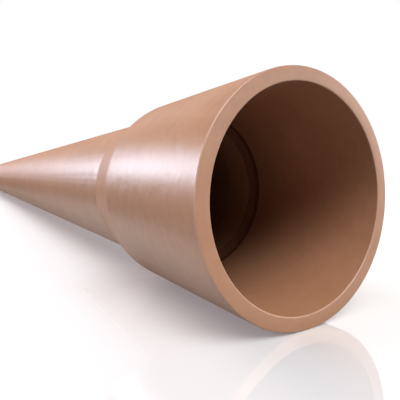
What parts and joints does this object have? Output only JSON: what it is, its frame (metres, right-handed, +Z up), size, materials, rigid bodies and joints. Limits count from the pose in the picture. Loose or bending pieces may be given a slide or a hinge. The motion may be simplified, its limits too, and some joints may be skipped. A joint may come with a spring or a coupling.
{
  "type": "pvc water pipe",
  "caption": "Round rigid PVC water pipe with a belled socket for solvent welding at one end and a chamfered plain end at the other.",
  "frame": {"origin": "on the pipe's axis at the stop inside the socket, where the next pipe's plain end comes to rest", "axes": "+X along the axis out of the socket's mouth, the pipe runs to -X; +Z up, the pipe lies on its bell and its plain end"},
  "size_m": [3, 0.0364, 0.0362],
  "materials": {
    "brown_pvc": "satin, as extruded"
  },
  "bodies": {
    "root": {"pipe": "brown_pvc"}
  },
  "joints": []
}
